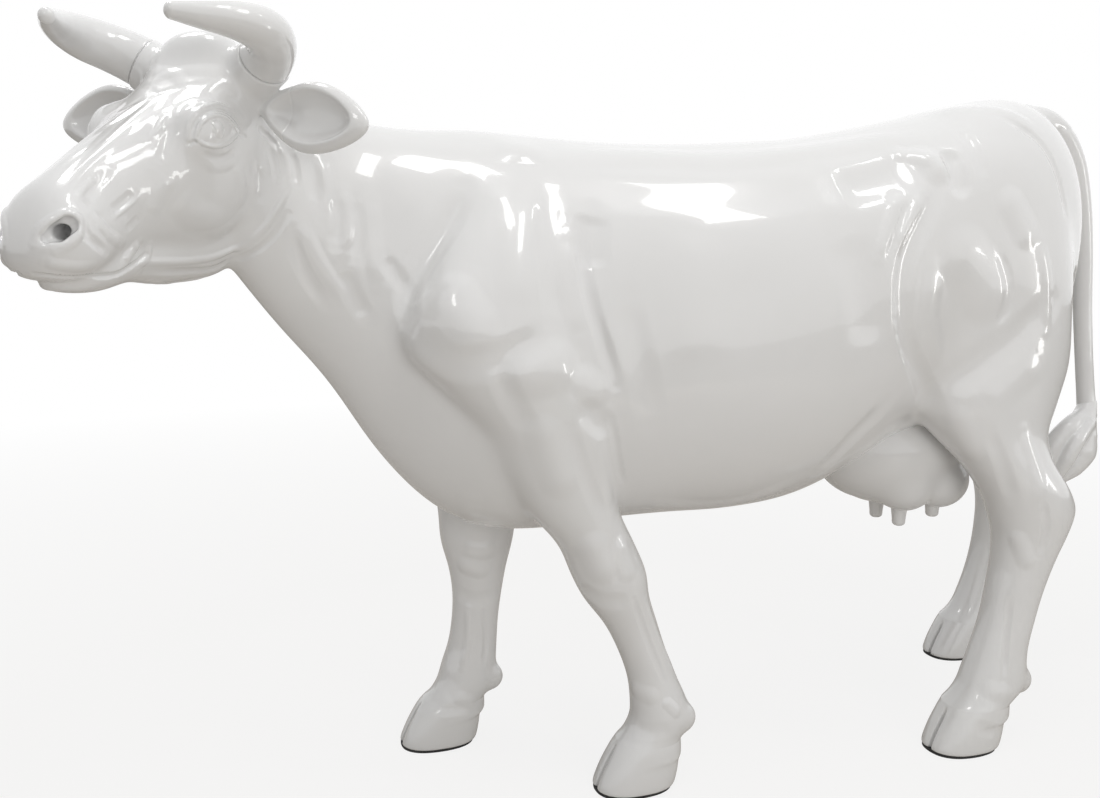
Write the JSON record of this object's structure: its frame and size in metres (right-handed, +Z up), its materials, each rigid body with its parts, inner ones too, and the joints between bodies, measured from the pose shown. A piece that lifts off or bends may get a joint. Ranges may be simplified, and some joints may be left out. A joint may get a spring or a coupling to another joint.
{
  "type": "cow statue",
  "caption": "Standing glossy white cow statue with its head turned to its left, horns, cupped ears, cloven hooves, udder and hanging tail.",
  "frame": {"origin": "centre of the base of the overall box, on the floor", "axes": "+X from head to tail, +Y to the right side of the cow, +Z up"},
  "size_m": [2.5034, 0.7832, 1.5329],
  "materials": {
    "gloss_white": "glass-fibre moulding in high-gloss white lacquer",
    "pad_rubber": "black sheet rubber",
    "bright_steel": "zinc-plated turned steel",
    "frame_steel": "welded tube and bar in grey primer",
    "birch_board": "sealed birch plywood"
  },
  "bodies": {
    "root": {"ear_left": "gloss_white", "ear_right": "gloss_white", "eye_left": "gloss_white", "eye_right": "gloss_white", "foreleg_left": "gloss_white", "foreleg_left_bar": "frame_steel", "foreleg_left_bush": "bright_steel", "foreleg_left_hoof": "gloss_white", "foreleg_left_pad": "pad_rubber", "foreleg_right": "gloss_white", "foreleg_right_bar": "frame_steel", "foreleg_right_bush": "bright_steel", "foreleg_right_hoof": "gloss_white", "foreleg_right_pad": "pad_rubber", "front_bulkhead": "birch_board", "front_cross_tube": "frame_steel", "front_post": "frame_steel", "head_bulkhead": "birch_board", "head_shell": "gloss_white", "hindleg_left": "gloss_white", "hindleg_left_bar": "frame_steel", "hindleg_left_bush": "bright_steel", "hindleg_left_hoof": "gloss_white", "hindleg_left_pad": "pad_rubber", "hindleg_right": "gloss_white", "hindleg_right_bar": "frame_steel", "hindleg_right_bush": "bright_steel", "hindleg_right_hoof": "gloss_white", "hindleg_right_pad": "pad_rubber", "horn_left": "gloss_white", "horn_right": "gloss_white", "horn_stud_left": "bright_steel", "horn_stud_right": "bright_steel", "neck_bulkhead": "birch_board", "neck_shell": "gloss_white", "neck_stay": "frame_steel", "rear_bulkhead": "birch_board", "rear_cross_tube": "frame_steel", "rear_post": "frame_steel", "spine_tube": "frame_steel", "tail": "gloss_white", "tail_switch": "gloss_white", "teats": "gloss_white", "trunk_left": "gloss_white", "trunk_right": "gloss_white", "udder": "gloss_white"}
  },
  "joints": []
}
